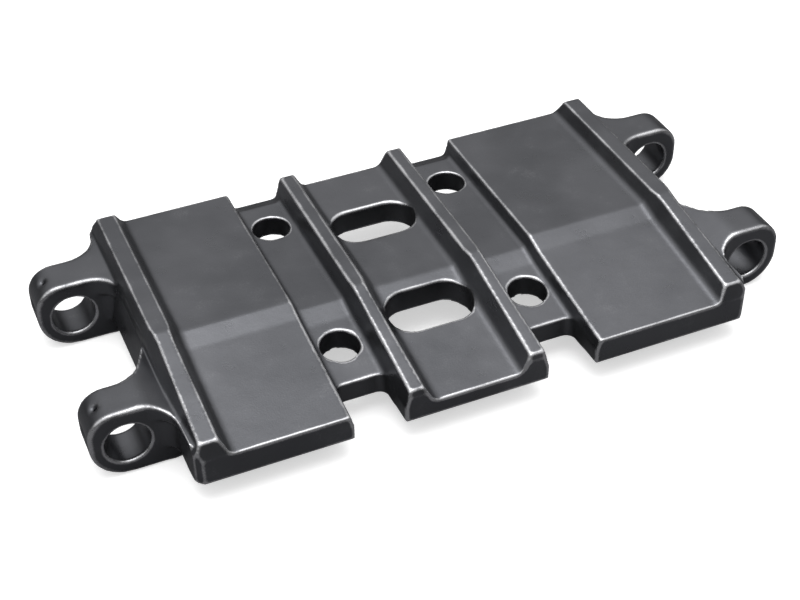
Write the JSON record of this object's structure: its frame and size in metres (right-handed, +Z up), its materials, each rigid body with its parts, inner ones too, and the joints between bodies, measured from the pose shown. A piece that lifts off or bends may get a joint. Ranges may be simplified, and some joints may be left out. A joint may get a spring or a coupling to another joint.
{
  "type": "track shoe",
  "caption": "Cast steel excavator track shoe: ribbed plate cranked at mid width, with bored lugs at both ends, bolt holes, and slots.",
  "frame": {"origin": "on the ground under the middle of the shoe's box, with the shoe resting on its lugs", "axes": "+X along the shoe from the left lugs to the right lugs, +Y along the ribs and the pin axes to the far end, +Z up"},
  "size_m": [0.523, 0.25, 0.064],
  "materials": {
    "cast_steel": "dark oiled cast steel, satin, worn bright along its edges"
  },
  "bodies": {
    "root": {"track_shoe": "cast_steel"}
  },
  "joints": []
}
